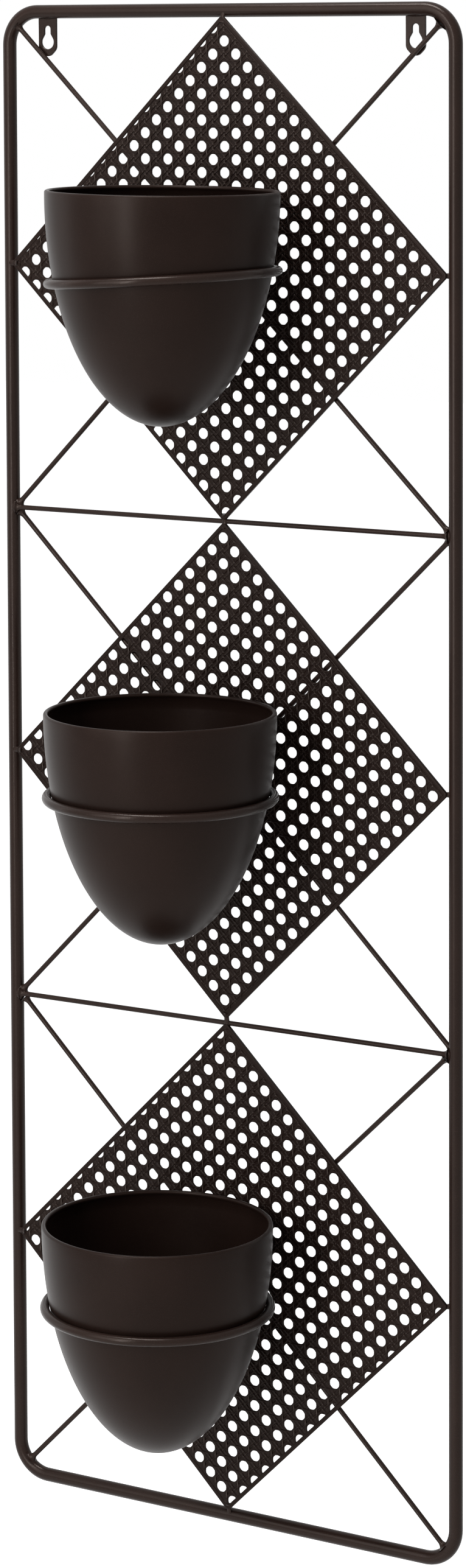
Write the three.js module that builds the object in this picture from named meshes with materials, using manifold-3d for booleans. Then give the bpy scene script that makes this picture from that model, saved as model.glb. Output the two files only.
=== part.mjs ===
// Wall planter: a tall frame of bent tube with three square cane-pattern panels
// set on their corners, a wire ring on each panel and an egg-shaped metal pot in each ring.
//
// Millimetres. +Z is up, +X is to the right seen from the front, -Y faces the room.
// The wall is the plane y = 0. The origin lies in it, midway between the two
// screw seats of the hanger plates.

import * as THREE from 'three';
import { mergeVertices } from 'three/addons/utils/BufferGeometryUtils.js';
import Module from 'manifold-3d';

const wasm = await Module();
wasm.setup();

// ---------------------------------------------------------------- driving dimensions

// Outer frame, one bent loop of round tube.
const FRAME_WIDTH = 362;
const FRAME_HEIGHT = 1056.5;
const TUBE_DIAMETER = 9.5;
const FRAME_CORNER_RADIUS = 23; // of the tube's centre line

// Thin rods: two crossbars part the frame into bays, two diagonals brace each bay.
const ROD_DIAMETER = 3.5;

// Panels: a punched sheet on a rim of thinner rod, set on its corner. It fills its bay,
// so it is square as long as the bay is nearly so.
const TIP_FROM_TUBE = 3.3; // side tips short of the side tubes' centre lines
const TIP_FROM_CROSSBAR = 1.6; // top and bottom tips short of the crossbars' centre lines
const PANEL_CORNER_CUT = 2;
const SHEET_THICKNESS = 0.8;
const SHEET_PROUD = 0.25; // how far the sheet stands in front of the tube
const RIM_DIAMETER = 1.4;

// Punched pattern: eight-sided holes. The real pitch is 12.7; every second row is kept here.
const HOLE_PITCH = 25.4;
const HOLE_ACROSS = 15.5;
const HOLE_MARGIN = 1; // plain sheet left inside the rim rods
const HOLE_SIDES = 8;

// Pot rings, one per panel.
const RING_WIRE_DIAMETER = 6.4;

// Pots: half an ellipsoid with a rolled lip.
const POT_DIAMETER = 157;
const POT_HEIGHT = 157.5;
const POT_WALL = 1.2;
const LIP_DIAMETER = 3.2;
const RING_BORE_LESS = 10.2; // how much narrower than the pot the ring's bore is

// Hanger plates: a keyhole each, welded under the ends of the top rail.
const HANGER_FROM_TUBE = 30.75; // keyhole to the side tube's centre line
const HANGER_WIDTH = 16;
const HANGER_THICKNESS = 1.5;
const HANGER_CHAMFER = 5;
const HANGER_BELOW_SEAT = 19.5;
const KEYHOLE_SLOT_WIDTH = 4.5;
const KEYHOLE_HEAD_DIAMETER = 10;
const KEYHOLE_HEAD_DROP = 8.8; // head hole below the screw's seat
const RAIL_ABOVE_SEAT = 11.5; // top rail's centre line above the screw's seat

// Clearances.
const WELD_GAP = 0.3; // between a piece's end and what it is welded to
const CONTACT_GAP = 0.2; // between rods and sheet that lie on each other
const SEAT_GAP = 0.3; // between a pot and its ring

// The three levels from the top. Each panel and ring was welded in by hand a little off
// the middle of its bay: panelRise is upwards, ringShift to the right and ringDrop
// downwards, and ringTilt is the angle in degrees by which the ring's right end stands higher.
const LEVELS = [
  { name: 'upper', panelRise: -1.5, ringShift: 1.6, ringDrop: 2.4, ringTilt: 3.5 },
  { name: 'middle', panelRise: 1.5, ringShift: -2.5, ringDrop: 2.9, ringTilt: 0 },
  { name: 'lower', panelRise: 2.5, ringShift: -7, ringDrop: 3.6, ringTilt: 0 },
];

// So were the diagonals: how far to the right the two ends of each one's line lie, for the
// whole one from the bay's upper left corner to its lower right one, and for the half ones
// from their corner to the middle of the bay.
const BRACE_SLIPS = {
  upper: { whole: [-2.4, -2.2], high_right: [-0.9, -1.3], low_left: [2.8, -2] },
  middle: { whole: [3.7, 0.3], high_right: [-1.4, -1.9], low_left: [2.7, -1.8] },
  lower: { whole: [4.5, 1.6], high_right: [-3.8, -6], low_left: [-0.6, -4.6] },
};

// How finely round shapes are faceted.
const ROUND_STEPS = 32;
const TUBE_SIDES = 8;
const ROD_SIDES = 8;
const WIRE_SIDES = 6;
const BEND_STEPS = 3; // per eighth of a turn
const BOWL_STEPS = 8; // down the outside of a pot
const LINING_STEPS = 4; // down the inside of a pot
const LIP_STEPS = 3; // over a pot's rolled lip
const KEYHOLE_STEPS = 4;

const SEARCH_LIMIT = 1e-9; // where the search for a pot's seat stops, in radians
const SAME_POINT = 1e-4; // points nearer than this are one

const POWDER_COAT = { color: 0x35291f, roughness: 0.55, metalness: 0.3 };

// ---------------------------------------------------------------- derived places

const tubeRadius = TUBE_DIAMETER / 2;
const rodRadius = ROD_DIAMETER / 2;
const rimRadius = RIM_DIAMETER / 2;
const wireRadius = RING_WIRE_DIAMETER / 2;
const potRadius = POT_DIAMETER / 2;

// The frame's back touches the wall.
const frameY = -tubeRadius;
const railZ = RAIL_ABOVE_SEAT;
const tubeX = FRAME_WIDTH / 2 - tubeRadius;
const frameLineHeight = FRAME_HEIGHT - TUBE_DIAMETER;
const bayHeight = frameLineHeight / LEVELS.length;

// Half the panel's width and height across its corners, its side, and the sine of the
// angle at its corners.
const panelHalfWidth = tubeX - TIP_FROM_TUBE;
const panelHalfHeight = bayHeight / 2 - TIP_FROM_CROSSBAR;
const panelSide = Math.hypot(panelHalfWidth, panelHalfHeight);
const cornerSine = (2 * panelHalfWidth * panelHalfHeight) / panelSide ** 2;

// Front to back: sheet, then rim rods and crossbars, then the diagonals, then the hangers.
const sheetFrontY = -TUBE_DIAMETER - SHEET_PROUD;
const sheetBackY = sheetFrontY + SHEET_THICKNESS;
const rimY = sheetBackY + CONTACT_GAP + rimRadius;
const crossbarY = sheetBackY + CONTACT_GAP + rodRadius;
const braceY = rimY + rimRadius + CONTACT_GAP + rodRadius;
const hangerFrontY = braceY + rodRadius + CONTACT_GAP;

// The ring lies against the sheet's front.
const ringRadius = (POT_DIAMETER - RING_BORE_LESS) / 2 + wireRadius;
const ringY = sheetFrontY - WELD_GAP - wireRadius - ringRadius;

// ---------------------------------------------------------------- solids and meshes

function solidOf(geometry) {
  const bare = geometry.clone();
  bare.deleteAttribute('normal');
  bare.deleteAttribute('uv');
  const merged = mergeVertices(bare, SAME_POINT);
  return new wasm.Manifold(new wasm.Mesh({
    numProp: 3,
    vertProperties: new Float32Array(merged.attributes.position.array),
    triVerts: new Uint32Array(merged.index.array),
  }));
}

function geometryOf(solid) {
  const mesh = solid.getMesh();
  const geometry = new THREE.BufferGeometry();
  geometry.setAttribute('position', new THREE.BufferAttribute(mesh.vertProperties, mesh.numProp));
  geometry.setIndex(new THREE.BufferAttribute(mesh.triVerts, 1));
  geometry.computeVertexNormals();
  return geometry;
}

// Cuts every tool solid out of a geometry.
function cut(geometry, tools) {
  return geometryOf(tools.reduce((solid, tool) => solid.subtract(tool), solidOf(geometry)));
}

function piece(name, geometry) {
  const mesh = new THREE.Mesh(geometry, new THREE.MeshStandardMaterial(POWDER_COAT));
  mesh.name = name;
  return mesh;
}

// A straight round rod between two points.
function rod(from, to, radius) {
  const along = new THREE.Vector3().subVectors(to, from);
  const geometry = new THREE.CylinderGeometry(radius, radius, along.length(), ROD_SIDES);
  const turn = new THREE.Quaternion().setFromUnitVectors(new THREE.Vector3(0, 1, 0), along.normalize());
  const middle = new THREE.Vector3().addVectors(from, to).multiplyScalar(0.5);
  return geometry.applyQuaternion(turn).translate(middle.x, middle.y, middle.z);
}

// A profile of [radius, height] points turned about the Z axis.
function turned(profile) {
  const points = profile.map(([r, z]) => new THREE.Vector2(r, z));
  return new THREE.LatheGeometry(points, ROUND_STEPS).rotateX(Math.PI / 2);
}

// A flat shape drawn in X and Z, made into a plate from y = back - thickness to y = back.
function plate(shape, thickness, back) {
  const settings = { depth: thickness, bevelEnabled: false, curveSegments: KEYHOLE_STEPS };
  return new THREE.ExtrudeGeometry(shape, settings).rotateX(Math.PI / 2).translate(0, back, 0);
}

// A round tube swept once around a closed path in X and Z, mitred at each point.
function tubeLoop(path, radius) {
  const positions = [];
  const index = [];
  path.forEach((point, i) => {
    const before = path[(i + path.length - 1) % path.length];
    const after = path[(i + 1) % path.length];
    const arriving = new THREE.Vector2().subVectors(point, before).normalize();
    const leaving = new THREE.Vector2().subVectors(after, point).normalize();
    const along = new THREE.Vector2().addVectors(arriving, leaving).normalize();
    const reach = radius / along.dot(arriving);
    for (let side = 0; side < TUBE_SIDES; side += 1) {
      const angle = (side * 2 * Math.PI) / TUBE_SIDES;
      const out = reach * Math.cos(angle);
      positions.push(point.x + along.y * out, radius * Math.sin(angle), point.y - along.x * out);
      const here = i * TUBE_SIDES + side;
      const beside = i * TUBE_SIDES + ((side + 1) % TUBE_SIDES);
      const ahead = ((i + 1) % path.length) * TUBE_SIDES;
      const next = ahead + side;
      const nextBeside = ahead + ((side + 1) % TUBE_SIDES);
      index.push(here, beside, nextBeside, here, nextBeside, next);
    }
  });
  const geometry = new THREE.BufferGeometry();
  geometry.setAttribute('position', new THREE.Float32BufferAttribute(positions, 3));
  geometry.setIndex(index);
  geometry.computeVertexNormals();
  return geometry;
}

// ---------------------------------------------------------------- frame

// The tube's centre line, with the top rail at z = 0 and x measured from the middle.
function framePath() {
  const r = FRAME_CORNER_RADIUS;
  const low = -frameLineHeight;
  const outline = new THREE.Path();
  outline.absarc(tubeX - r, -r, r, 0, Math.PI / 2);
  outline.absarc(-tubeX + r, -r, r, Math.PI / 2, Math.PI);
  outline.absarc(-tubeX + r, low + r, r, Math.PI, 1.5 * Math.PI);
  outline.absarc(tubeX - r, low + r, r, 1.5 * Math.PI, 2 * Math.PI);
  return outline.getPoints(BEND_STEPS);
}

function frameGeometry(radius) {
  return tubeLoop(framePath(), radius).translate(0, frameY, railZ);
}

// Height of the crossbar under the given number of bays.
function crossbarZ(bays) {
  return railZ - bays * bayHeight;
}

function crossbarGeometry(bays, radius) {
  const end = new THREE.Vector3(tubeX, crossbarY, crossbarZ(bays));
  const start = end.clone().setX(-tubeX);
  return rod(start, end, radius);
}

function crossbarSeats(radius) {
  return [1, 2].map((bays) => solidOf(crossbarGeometry(bays, radius + WELD_GAP)));
}

// What the ends of the rods are fitted to, each grown by the weld gap. For the diagonals the
// crossbars are grown until they reach to the diagonals' backs, so those of two bays stay apart.
const frameSeat = solidOf(frameGeometry(tubeRadius + WELD_GAP));
const rimSeats = [frameSeat, ...crossbarSeats(rodRadius)];
const braceSeats = [frameSeat, ...crossbarSeats(braceY - crossbarY + rodRadius)];

function addFrame(planter) {
  planter.add(piece('frame_tube', frameGeometry(tubeRadius)));
  ['crossbar_upper', 'crossbar_lower'].forEach((name, i) => {
    planter.add(piece(name, cut(crossbarGeometry(i + 1, rodRadius), [frameSeat])));
  });
}

// ---------------------------------------------------------------- diagonals

// The corner of a bay that a diagonal runs into: the bend's centre line where the
// frame is bent, the crossing of the centre lines where a crossbar meets the tube.
function bayCorner(level, right, top, slip) {
  const edge = level + (top ? 0 : 1);
  const bent = edge === 0 || edge === LEVELS.length;
  const inset = bent ? FRAME_CORNER_RADIUS * (1 - Math.SQRT1_2) : 0;
  const x = (right ? 1 : -1) * (tubeX - inset) + slip;
  return new THREE.Vector3(x, braceY, crossbarZ(edge) + (top ? -inset : inset));
}

// Where the line through two points crosses another one in the same upright plane.
function crossing([from, to], [start, end]) {
  const along = new THREE.Vector3().subVectors(to, from);
  const across = new THREE.Vector3().subVectors(end, start);
  const gap = new THREE.Vector3().subVectors(start, from);
  const sine = along.x * across.z - along.z * across.x;
  return from.clone().addScaledVector(along, (gap.x * across.z - gap.z * across.x) / sine);
}

// One whole diagonal, and two half ones that meet it near the middle.
function addBraces(planter, level) {
  const { name } = LEVELS[level];
  const slips = BRACE_SLIPS[name];
  const whole = [
    bayCorner(level, false, true, slips.whole[0]), bayCorner(level, true, false, slips.whole[1]),
  ];
  const wholeSeat = solidOf(rod(...whole, rodRadius + WELD_GAP));
  planter.add(piece(`brace_${name}_whole`, cut(rod(...whole, rodRadius), braceSeats)));

  for (const end of ['high_right', 'low_left']) {
    const high = end === 'high_right';
    const corner = bayCorner(level, high, high, slips[end][0]);
    const middle = new THREE.Vector3(slips[end][1], braceY, crossbarZ(level + 0.5));
    const half = rod(crossing([corner, middle], whole), corner, rodRadius);
    planter.add(piece(`brace_${name}_${end}`, cut(half, [...braceSeats, wholeSeat])));
  }
}

// ---------------------------------------------------------------- panels

// The panel's corners, anticlockwise from the right, with its edges moved in by a distance.
function panelCorners(inset) {
  const halfWidth = panelHalfWidth - (inset * panelSide) / panelHalfHeight;
  const halfHeight = panelHalfHeight - (inset * panelSide) / panelHalfWidth;
  return [[halfWidth, 0], [0, halfHeight], [-halfWidth, 0], [0, -halfHeight]]
    .map(([x, z]) => new THREE.Vector2(x, z));
}

// An eight-sided hole with its flats along the panel's edges.
function holePath(middle, slope) {
  const radius = HOLE_ACROSS / 2 / Math.cos(Math.PI / HOLE_SIDES);
  const corners = [];
  for (let i = 0; i < HOLE_SIDES; i += 1) {
    const angle = slope + ((i + 0.5) * 2 * Math.PI) / HOLE_SIDES;
    const outwards = new THREE.Vector2(Math.cos(angle), Math.sin(angle));
    corners.push(middle.clone().addScaledVector(outwards, radius));
  }
  return new THREE.Path(corners);
}

// The sheet, centred on the origin, with as many whole holes as fit inside the rim.
function sheetShape() {
  const corners = panelCorners(0);
  const outline = corners.flatMap((corner, i) => [corners[(i + 3) % 4], corners[(i + 1) % 4]].map(
    (neighbour) => corner.clone().lerp(neighbour, PANEL_CORNER_CUT / panelSide),
  ));
  const shape = new THREE.Shape(outline);

  const upRight = new THREE.Vector2(panelHalfWidth, panelHalfHeight).divideScalar(panelSide);
  const upLeft = new THREE.Vector2(-upRight.x, upRight.y);
  const clear = panelSide - (2 * (RIM_DIAMETER + HOLE_MARGIN) + HOLE_ACROSS) / cornerSine;
  const count = Math.floor(clear / HOLE_PITCH) + 1;
  const first = (-(count - 1) / 2) * HOLE_PITCH;
  for (let row = 0; row < count; row += 1) {
    for (let column = 0; column < count; column += 1) {
      const middle = upRight.clone().multiplyScalar(first + column * HOLE_PITCH);
      middle.addScaledVector(upLeft, first + row * HOLE_PITCH);
      shape.holes.push(holePath(middle, upRight.angle()));
    }
  }
  return shape;
}

// The four rim rods run round the panel, each starting on the side of the one before and
// running on past its last corner.
function addRim(planter, level, panelZ) {
  const corners = panelCorners(rimRadius).map(
    (corner) => new THREE.Vector3(corner.x, rimY, panelZ + corner.y),
  );
  const rodAt = (i, radius) => {
    const [start, end] = [corners[i % 4], corners[(i + 1) % 4]];
    const beyond = new THREE.Vector3().subVectors(end, start).setLength(radius).add(end);
    return rod(start, beyond, radius);
  };
  ['high_right', 'high_left', 'low_left', 'low_right'].forEach((side, i) => {
    const before = solidOf(rodAt(i + 3, rimRadius + WELD_GAP));
    const name = `rim_rod_${LEVELS[level].name}_${side}`;
    planter.add(piece(name, cut(rodAt(i, rimRadius), [...rimSeats, before])));
  });
}

function addPanel(planter, level) {
  const { name, panelRise } = LEVELS[level];
  const panelZ = crossbarZ(level + 0.5) + panelRise;
  const sheet = piece(`cane_sheet_${name}`, plate(sheetShape(), SHEET_THICKNESS, sheetBackY));
  sheet.position.z = panelZ;
  planter.add(sheet);
  addRim(planter, level, panelZ);
}

// ---------------------------------------------------------------- rings and pots

function ringProfile() {
  const profile = [];
  for (let i = 0; i <= WIRE_SIDES; i += 1) {
    const angle = ((i % WIRE_SIDES) * 2 * Math.PI) / WIRE_SIDES;
    profile.push([ringRadius + wireRadius * Math.cos(angle), wireRadius * Math.sin(angle)]);
  }
  return profile;
}

// Points down an ellipse quarter from the given depth under the rim to the axis.
function bowlCurve(radius, height, fromDepth, steps) {
  const first = Math.asin(fromDepth / height);
  const points = [];
  for (let i = 0; i <= steps; i += 1) {
    const angle = first + ((Math.PI / 2 - first) * i) / steps;
    points.push([i === steps ? 0 : radius * Math.cos(angle), -height * Math.sin(angle)]);
  }
  return points;
}

// The pot's section with its rim at z = 0: up the outside, over the rolled lip, down the inside.
function potProfile() {
  const lip = LIP_DIAMETER / 2;
  const outside = bowlCurve(potRadius, POT_HEIGHT, lip, BOWL_STEPS).reverse();
  const inside = bowlCurve(potRadius - POT_WALL, POT_HEIGHT - POT_WALL, LIP_DIAMETER, LINING_STEPS);
  const rolled = [];
  for (let i = 1; i <= LIP_STEPS; i += 1) {
    const angle = (i * Math.PI) / LIP_STEPS;
    rolled.push([potRadius - lip + lip * Math.cos(angle), -lip + lip * Math.sin(angle)]);
  }
  return [...outside, ...rolled, ...inside];
}

// How far the rim stands above the ring's plane when the pot rests in it: the point on
// the ellipse is sought whose normal, carried out by wire radius and gap, meets the
// centre line of the wire.
function rimAboveRing() {
  const reach = wireRadius + SEAT_GAP;
  const wireCentre = (angle) => {
    const normal = new THREE.Vector2(Math.cos(angle) / potRadius, -Math.sin(angle) / POT_HEIGHT);
    const surface = new THREE.Vector2(potRadius * Math.cos(angle), -POT_HEIGHT * Math.sin(angle));
    return surface.addScaledVector(normal.normalize(), reach);
  };
  let shallow = 0;
  let deep = Math.PI / 2;
  while (deep - shallow > SEARCH_LIMIT) {
    const middle = (shallow + deep) / 2;
    if (wireCentre(middle).x > ringRadius) shallow = middle;
    else deep = middle;
  }
  return -wireCentre(shallow).y;
}

// A ring and the pot that hangs upright in it. A tilted ring meets the bowl higher on one
// side, where the bowl is wider, so the pot sits a little off the ring's middle.
function addPot(planter, level) {
  const { name, ringShift, ringDrop, ringTilt } = LEVELS[level];
  const tilt = THREE.MathUtils.degToRad(ringTilt);
  const rim = rimAboveRing();
  const holder = new THREE.Group();
  holder.position.set(ringShift, ringY, crossbarZ(level + 0.5) - ringDrop);

  const ring = piece(`pot_ring_${name}`, turned(ringProfile()));
  ring.rotation.y = -tilt;
  holder.add(ring);

  const pot = piece(`pot_${name}`, turned(potProfile()));
  pot.position.set(-Math.sin(tilt) * rim * (potRadius / POT_HEIGHT) ** 2, 0, rim);
  holder.add(pot);
  planter.add(holder);
}

// ---------------------------------------------------------------- hanger plates

// Drawn about the screw's seat, the middle of the slot's round top.
function hangerShape() {
  const half = HANGER_WIDTH / 2;
  const reach = tubeRadius + WELD_GAP;
  const top = railZ - Math.sqrt(reach ** 2 - (hangerFrontY - frameY) ** 2);
  const low = -HANGER_BELOW_SEAT;
  const shape = new THREE.Shape();
  shape.moveTo(-half + HANGER_CHAMFER, low).lineTo(half - HANGER_CHAMFER, low);
  shape.lineTo(half, low + HANGER_CHAMFER).lineTo(half, top).lineTo(-half, top);
  shape.lineTo(-half, low + HANGER_CHAMFER).closePath();

  const slot = KEYHOLE_SLOT_WIDTH / 2;
  const head = KEYHOLE_HEAD_DIAMETER / 2;
  const mouth = Math.acos(slot / head);
  const keyhole = new THREE.Path();
  keyhole.absarc(0, 0, slot, 0, Math.PI);
  keyhole.absarc(0, -KEYHOLE_HEAD_DROP, head, Math.PI - mouth, 2 * Math.PI + mouth);
  keyhole.closePath();
  shape.holes.push(keyhole);
  return shape;
}

function addHangers(planter) {
  for (const [side, hand] of [['left', -1], ['right', 1]]) {
    const back = hangerFrontY + HANGER_THICKNESS;
    const hanger = piece(`hanger_plate_${side}`, plate(hangerShape(), HANGER_THICKNESS, back));
    hanger.position.x = hand * (tubeX - HANGER_FROM_TUBE);
    planter.add(hanger);
  }
}

// ---------------------------------------------------------------- the planter

function wallPlanter() {
  const planter = new THREE.Group();
  addFrame(planter);
  addHangers(planter);
  LEVELS.forEach((_, level) => {
    addBraces(planter, level);
    addPanel(planter, level);
    addPot(planter, level);
  });
  return planter;
}

export default wallPlanter();
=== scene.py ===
"""Looks of the wall planter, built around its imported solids.

Everything is in metres, in the frame of the solids: +Z is up, +X is to the right seen from
the front, -Y faces the room and the wall is the plane y = 0. The origin lies midway between
the screw seats of the two hanger plates.
"""

from __future__ import annotations

import itertools
import logging
import math
from dataclasses import dataclass, field
from enum import Enum
from typing import Iterable, Sequence

import bmesh
import bpy
import numpy as np
from mathutils import Matrix, Vector

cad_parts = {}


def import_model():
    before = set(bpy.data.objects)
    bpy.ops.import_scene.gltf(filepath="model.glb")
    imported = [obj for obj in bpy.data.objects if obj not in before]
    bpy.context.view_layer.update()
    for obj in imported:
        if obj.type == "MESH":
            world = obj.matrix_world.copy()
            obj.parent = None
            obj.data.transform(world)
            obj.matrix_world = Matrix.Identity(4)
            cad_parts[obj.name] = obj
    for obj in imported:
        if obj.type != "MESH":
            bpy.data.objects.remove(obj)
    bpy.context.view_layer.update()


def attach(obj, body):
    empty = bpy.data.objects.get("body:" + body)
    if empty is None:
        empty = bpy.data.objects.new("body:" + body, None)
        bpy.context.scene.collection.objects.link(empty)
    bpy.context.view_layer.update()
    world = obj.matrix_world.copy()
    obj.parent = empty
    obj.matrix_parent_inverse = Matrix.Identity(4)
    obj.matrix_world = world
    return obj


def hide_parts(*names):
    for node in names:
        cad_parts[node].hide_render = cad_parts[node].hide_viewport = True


LOG = logging.getLogger("wall_planter")
Triple = tuple[float, float, float]
Pair = tuple[float, float]
Colour = Triple | bpy.types.NodeSocket

MM = 0.001
FRAME_BODY = "frame"
PHOTO_WIDTH = 766
PHOTO_HEIGHT = 2576
MIX_A, MIX_B, MIX_RESULT = 6, 7, 2  # colour sockets of a mix node
WHITE = (1.0, 1.0, 1.0, 1.0)


class Slot(Enum):
    """Material slots of the record that a piece can take its finish from."""

    FRAME = "frame_coat"
    PANEL = "panel_coat"
    POT = "pot_coat"


class Bay(Enum):
    """The three bays of the frame, counted from the top."""

    UPPER = 0
    MIDDLE = 1
    LOWER = 2

    @property
    def word(self) -> str:
        """The bay's name as the solids spell it."""
        return self.name.lower()


# ---- shader nodes


def fill(tree: bpy.types.NodeTree, node: bpy.types.Node, inputs: dict[str | int, object]) -> None:
    """Sets a node's sockets.

    Args:
        tree: The node's tree.
        node: The node.
        inputs: Value for each socket, or the socket that it is linked to.
    """
    for name, value in inputs.items():
        if isinstance(value, bpy.types.NodeSocket):
            tree.links.new(value, node.inputs[name])
        else:
            node.inputs[name].default_value = value


def add_node(
    tree: bpy.types.NodeTree, kind: str, inputs: dict[str | int, object], operation: str | None = None
) -> bpy.types.Node:
    """Adds a node.

    Args:
        tree: Node tree to add to.
        kind: Type of the node.
        inputs: Value for each socket, or the socket that it is linked to.
        operation: What a node of sums works out.

    Returns:
        The node.
    """
    node = tree.nodes.new(kind)
    if operation:
        node.operation = operation
    fill(tree, node, inputs)
    return node


def ramp(
    tree: bpy.types.NodeTree, value: bpy.types.NodeSocket, given: Pair = (0.0, 1.0),
    wanted: Pair = (0.0, 1.0),
) -> bpy.types.NodeSocket:
    """Maps a value from one span to another and holds it at the ends.

    Args:
        tree: Node tree to add to.
        value: The value.
        given: Span that it comes in.
        wanted: Span that it is mapped to.

    Returns:
        The mapped value.
    """
    ends = dict(zip(("From Min", "From Max", "To Min", "To Max"), (*given, *wanted)))
    return add_node(tree, "ShaderNodeMapRange", {"Value": value, **ends}).outputs["Result"]


# ---- finishes


@dataclass(frozen=True)
class PowderCoat:
    """Powder coat: a thin matt skin of melted grains on steel.

    Attributes:
        name: Name of the material.
        colour: Main colour, linear.
        dust: Colour of the paler grains, linear.
        roughness: Mean roughness.
        specular: Strength of the mirror-like part, 0.5 for plain lacquer.
        sheen: Colour of the mirror-like part.
        grain: Size of one grain.
        relief: Height of the grains.
        cloud: Size of the soft patches in which the colour drifts.
        drift: Factors on the colour in the darkest and the palest patches.
        patches: Values of the coarse noise at which the patches are darkest and palest.
        speckle: Values of the fine noise between which a grain turns pale.
        uneven: How far the roughness drifts either way.
        crest_highlight: Colour of a painted highlight laid on the crests of an embossed sheet, linear.
        crests: Depths in the frame between which the painted highlight grows from none to full, from groove
            to crest.
    """

    name: str
    colour: Triple
    dust: Triple
    roughness: float = 0.31
    specular: float = 0.15
    sheen: Triple = (1.0, 0.86, 0.78)
    grain: float = 0.55 * MM
    relief: float = 0.05 * MM
    cloud: float = 45 * MM
    drift: Pair = (0.88, 1.1)
    patches: Pair = (0.35, 0.65)
    speckle: Pair = (0.56, 0.8)
    uneven: float = 0.06
    crest_highlight: Triple | None = None
    crests: Pair = (-10.36 * MM, -10.64 * MM)

    def material(self) -> bpy.types.Material:
        """Builds the finish as a node material.

        Returns:
            The new material.
        """
        made = bpy.data.materials.new(self.name)
        made.use_nodes = True
        tree = made.node_tree
        tree.nodes.clear()
        spot = tree.nodes.new("ShaderNodeTexCoord").outputs["Object"]
        grains = self._noise(tree, spot, self.grain, detail=2.0)
        clouds = self._noise(tree, spot, self.cloud, detail=3.0)
        dark, pale = (tuple(channel * factor for channel in self.colour) for factor in self.drift)
        colour = self._mix(tree, clouds, dark, pale, self.patches)
        colour = self._mix(tree, grains, colour, self.dust, self.speckle)
        # Painted highlight: the sheet's crests are lightened by their depth in the frame.
        if self.crest_highlight:
            depth = add_node(tree, "ShaderNodeSeparateXYZ", {"Vector": spot}).outputs["Y"]
            colour = self._mix(tree, depth, colour, self.crest_highlight, self.crests)
        span = (self.roughness - self.uneven, self.roughness + self.uneven)
        bump = add_node(tree, "ShaderNodeBump", {"Strength": 0.7, "Distance": self.relief, "Height": grains})
        inputs = {
            "Base Color": colour,
            "Roughness": ramp(tree, clouds, wanted=span),
            "Normal": bump.outputs["Normal"],
            "Specular IOR Level": self.specular,
            "Specular Tint": (*self.sheen, 1.0),
        }
        shader = add_node(tree, "ShaderNodeBsdfPrincipled", inputs)
        add_node(tree, "ShaderNodeOutputMaterial", {"Surface": shader.outputs["BSDF"]})
        return made

    @staticmethod
    def _noise(
        tree: bpy.types.NodeTree, spot: bpy.types.NodeSocket, size: float, detail: float
    ) -> bpy.types.NodeSocket:
        """Adds a noise of the given size.

        Args:
            tree: Node tree to add to.
            spot: Coordinates in metres.
            size: Width of one patch.
            detail: How many finer layers the noise has.

        Returns:
            The noise's value, from 0 to 1.
        """
        inputs = {"Vector": spot, "Scale": 1.0 / size, "Detail": detail}
        return add_node(tree, "ShaderNodeTexNoise", inputs).outputs["Fac"]

    @staticmethod
    def _mix(
        tree: bpy.types.NodeTree, value: bpy.types.NodeSocket, low: Colour, high: Colour,
        limits: Pair,
    ) -> bpy.types.NodeSocket:
        """Mixes two colours by a value.

        Args:
            tree: Node tree to add to.
            value: What steers the mix.
            low: Colour, or socket, below the lower limit.
            high: Colour, or socket, above the upper limit.
            limits: Values at which the mix starts and ends.

        Returns:
            The mixed colour.
        """
        mix = tree.nodes.new("ShaderNodeMix")
        mix.data_type = "RGBA"
        low, high = ((*colour, 1.0) if isinstance(colour, tuple) else colour for colour in (low, high))
        fill(tree, mix, {"Factor": ramp(tree, value, given=limits), MIX_A: low, MIX_B: high})
        return mix.outputs[MIX_RESULT]


COATS = {
    Slot.FRAME: PowderCoat(
        "frame_powder_coat", (0.0158, 0.0089, 0.0071), (0.033, 0.0215, 0.018), roughness=0.25,
        specular=0.14,
    ),
    # The panel's crests carry a painted highlight.
    Slot.PANEL: PowderCoat(
        "panel_powder_coat", (0.0102, 0.0056, 0.0044), (0.024, 0.0155, 0.0125), roughness=0.32,
        specular=0.09, crest_highlight=(0.072, 0.057, 0.050),
    ),
    Slot.POT: PowderCoat(
        "pot_powder_coat", (0.0122, 0.0066, 0.0051), (0.023, 0.0146, 0.012), roughness=0.33, specular=0.085,
        grain=0.4 * MM,
    ),
}


class Palette:
    """Keeps one material for each slot and dresses the pieces with them."""

    def __init__(self) -> None:
        """Builds the materials."""
        self.materials = {slot: coat.material() for slot, coat in COATS.items()}

    def place(self, piece: bpy.types.Object, slot: Slot, *nodes: str, body: str = FRAME_BODY) -> None:
        """Dresses a piece, puts it on its body and hides the solids it stands for.

        Args:
            piece: The piece.
            slot: Slot of the record that its finish comes from.
            nodes: Solids that the piece replaces.
            body: Body that the piece rides on.
        """
        piece.data.materials.clear()
        piece.data.materials.append(self.materials[slot])
        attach(piece, body)
        if nodes:
            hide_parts(*nodes)
        LOG.info("%s: %d faces on %s", piece.name, len(piece.data.polygons), body)


# ---- mesh making


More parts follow.
